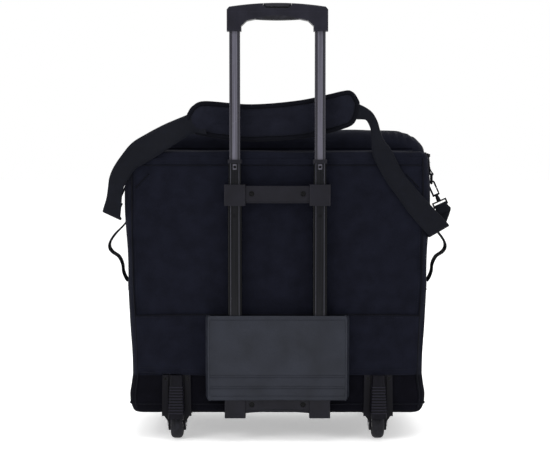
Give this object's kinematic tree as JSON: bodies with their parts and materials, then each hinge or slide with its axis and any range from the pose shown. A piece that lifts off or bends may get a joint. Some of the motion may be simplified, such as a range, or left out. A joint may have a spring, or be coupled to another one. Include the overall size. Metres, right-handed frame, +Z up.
{
  "type": "bowling ball bag",
  "caption": "Large soft-sided rolling bag for bowling balls, with a zipped lid, telescopic trolley handle, shoulder strap, side grab loops and rear wheels.",
  "frame": {"origin": "on the floor, under the middle of the whole object's box", "axes": "+Z up; the trolley side faces -Y; +X is to the right when looking at the trolley side"},
  "size_m": [0.68, 0.3136, 0.852],
  "materials": {
    "body_fabric": "matte",
    "patch_leatherette": "satin",
    "zip_tape": "matte",
    "board": "matte",
    "foam": "matte",
    "pad_fabric": "matte",
    "webbing": "matte",
    "moulded_plastic": "matte",
    "grip_plastic": "satin",
    "grip_rubber": "matte",
    "button_plastic": "satin",
    "tube_metal": "gloss",
    "steel": "satin",
    "tyre_rubber": "matte",
    "hub_plastic": "satin",
    "dark_metal": "gloss"
  },
  "bodies": {
    "bag": {"back_panel": "body_fabric", "front_panel": "body_fabric", "side_panel_left": "body_fabric", "side_panel_right": "body_fabric", "base_panel": "body_fabric", "rear_top_strip": "body_fabric", "rear_skirt": "body_fabric", "centre_divider": "body_fabric", "trolley_patch": "patch_leatherette", "body_zip_row": "zip_tape", "base_board": "board", "back_board": "board", "foam_cups": "foam", "shoulder_pad": "pad_fabric", "strap_left": "webbing", "strap_right": "webbing", "sewn_tabs": "webbing", "wheel_housing_left": "moulded_plastic", "wheel_housing_right": "moulded_plastic", "upper_bracket": "moulded_plastic", "lower_bracket": "moulded_plastic", "front_feet": "moulded_plastic", "outer_tube_left": "tube_metal", "outer_tube_right": "tube_metal", "screws": "steel", "axles": "steel", "d_rings": "dark_metal", "swivel_bases": "dark_metal"},
    "lid": {"lid_panel": "body_fabric", "lid_zip_row": "zip_tape"},
    "wheel_left": {"tyre_left": "tyre_rubber", "hub_left": "hub_plastic", "bearings_left": "steel"},
    "wheel_right": {"tyre_right": "tyre_rubber", "hub_right": "hub_plastic", "bearings_right": "steel"},
    "handle_middle": {"middle_tube_left": "tube_metal", "middle_tube_right": "tube_metal", "middle_collars": "moulded_plastic"},
    "handle_inner": {"inner_tube_left": "tube_metal", "inner_tube_right": "tube_metal", "lock_carriers": "moulded_plastic", "grip_lower": "grip_plastic", "grip_upper": "grip_plastic", "grip_inlay": "grip_rubber"},
    "button": {"grip_button": "button_plastic", "release_rods": "steel", "button_spring": "steel"},
    "locks": {"lock_pins": "steel"},
    "hook_left": {"snap_hook_left": "dark_metal"},
    "hook_right": {"snap_hook_right": "dark_metal"},
    "gate_left": {"hook_gate_left": "dark_metal"},
    "gate_right": {"hook_gate_right": "dark_metal"},
    "grab_left": {"side_handle_left": "webbing"},
    "grab_right": {"side_handle_right": "webbing"},
    "slider_left": {"zip_slider_left": "dark_metal"},
    "slider_right": {"zip_slider_right": "dark_metal"},
    "pull_left": {"zip_pull_left": "dark_metal"},
    "pull_right": {"zip_pull_right": "dark_metal"}
  },
  "joints": [
    {"name": "lid_hinge", "type": "hinge", "parent": "bag", "child": "lid", "pos_m": [0, -0.0748, 0.566], "axis": [1, 0, 0], "range_deg": [0, 65]},
    {"name": "wheel_left_spin", "type": "hinge", "parent": "bag", "child": "wheel_left", "pos_m": [-0.198, -0.1088, 0.0295], "axis": [1, 0, 0], "continuous": true},
    {"name": "wheel_right_spin", "type": "hinge", "parent": "bag", "child": "wheel_right", "pos_m": [0.198, -0.1088, 0.0295], "axis": [1, 0, 0], "continuous": true},
    {"name": "middle_slide", "type": "slide", "parent": "bag", "child": "handle_middle", "axis": [0, 0, 1], "range_m": [-0.0405, 0.2]},
    {"name": "inner_slide", "type": "slide", "parent": "handle_middle", "child": "handle_inner", "axis": [0, 0, 1], "range_m": [-0.2465, 0]},
    {"name": "button_press", "type": "slide", "parent": "handle_inner", "child": "button", "axis": [0, 0, -1], "range_m": [0, 0.003], "stiffness_N_per_m": 800, "springref_m": -0.003, "deforming": ["button_spring"]},
    {"name": "lock_slide", "type": "slide", "parent": "handle_inner", "child": "locks", "axis": [0, 1, 0], "range_m": [0, 0.0025]},
    {"name": "hook_left_swivel", "type": "hinge", "parent": "bag", "child": "hook_left", "pos_m": [-0.3035, -0.0988, 0.503], "axis": [-0.4067, 0, -0.9135], "range_deg": [-25, 25]},
    {"name": "gate_left_hinge", "type": "hinge", "parent": "hook_left", "child": "gate_left", "pos_m": [-0.31732, -0.0988, 0.48671], "axis": [0, 1, 0], "range_deg": [0, 26], "stiffness_Nm_per_rad": 0.004, "springref_deg": -22.92},
    {"name": "grab_left_flop", "type": "hinge", "parent": "bag", "child": "grab_left", "pos_m": [-0.3, -0.0548, 0.369], "axis": [0, 0, 1], "range_deg": [-20, 20]},
    {"name": "zip_left_slide", "type": "slide", "parent": "bag", "child": "slider_left", "axis": [0, 1, 0], "range_m": [0, 0.2]},
    {"name": "pull_left_hinge", "type": "hinge", "parent": "slider_left", "child": "pull_left", "pos_m": [-0.30128, -0.0748, 0.5576], "axis": [0, 1, 0], "range_deg": [0, 150]},
    {"name": "hook_right_swivel", "type": "hinge", "parent": "bag", "child": "hook_right", "pos_m": [0.3035, -0.0988, 0.503], "axis": [0.4067, 0, -0.9135], "range_deg": [-25, 25]},
    {"name": "gate_right_hinge", "type": "hinge", "parent": "hook_right", "child": "gate_right", "pos_m": [0.31732, -0.0988, 0.48671], "axis": [0, -1, 0], "range_deg": [0, 26], "stiffness_Nm_per_rad": 0.004, "springref_deg": -22.92},
    {"name": "grab_right_flop", "type": "hinge", "parent": "bag", "child": "grab_right", "pos_m": [0.3, -0.0548, 0.369], "axis": [0, 0, 1], "range_deg": [-20, 20]},
    {"name": "zip_right_slide", "type": "slide", "parent": "bag", "child": "slider_right", "axis": [0, 1, 0], "range_m": [0, 0.2]},
    {"name": "pull_right_hinge", "type": "hinge", "parent": "slider_right", "child": "pull_right", "pos_m": [0.30128, -0.0748, 0.5576], "axis": [0, -1, 0], "range_deg": [0, 150]}
  ],
  "couplings": [
    {"joint": "lock_slide", "follows": "button_press", "ratio": 0.8}
  ]
}
